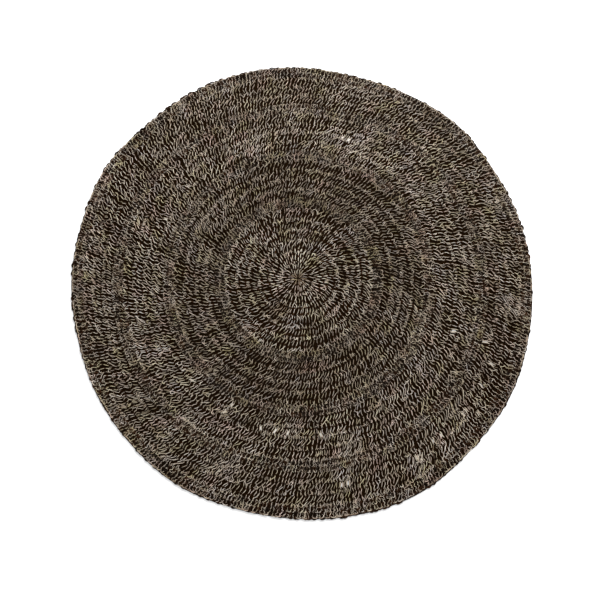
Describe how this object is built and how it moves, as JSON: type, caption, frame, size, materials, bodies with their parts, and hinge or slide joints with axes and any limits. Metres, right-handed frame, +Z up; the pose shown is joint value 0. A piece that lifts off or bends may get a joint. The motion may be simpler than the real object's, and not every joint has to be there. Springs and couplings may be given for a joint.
{
  "type": "round raffia rug, crocheted in rounds",
  "caption": "Round rug crocheted in rounds from natural and black raffia cord, with low ridged rounds, an uneven outline and a narrow edging, lying flat.",
  "frame": {"origin": "on the floor under the middle of the rug's box", "axes": "+Z up out of the floor; +Y towards the top of the picture; +X to its right"},
  "size_m": [1.498, 1.4934, 0.01],
  "materials": {
    "raffia": "matt natural fibre"
  },
  "bodies": {
    "root": {"rug": "raffia"}
  },
  "joints": []
}
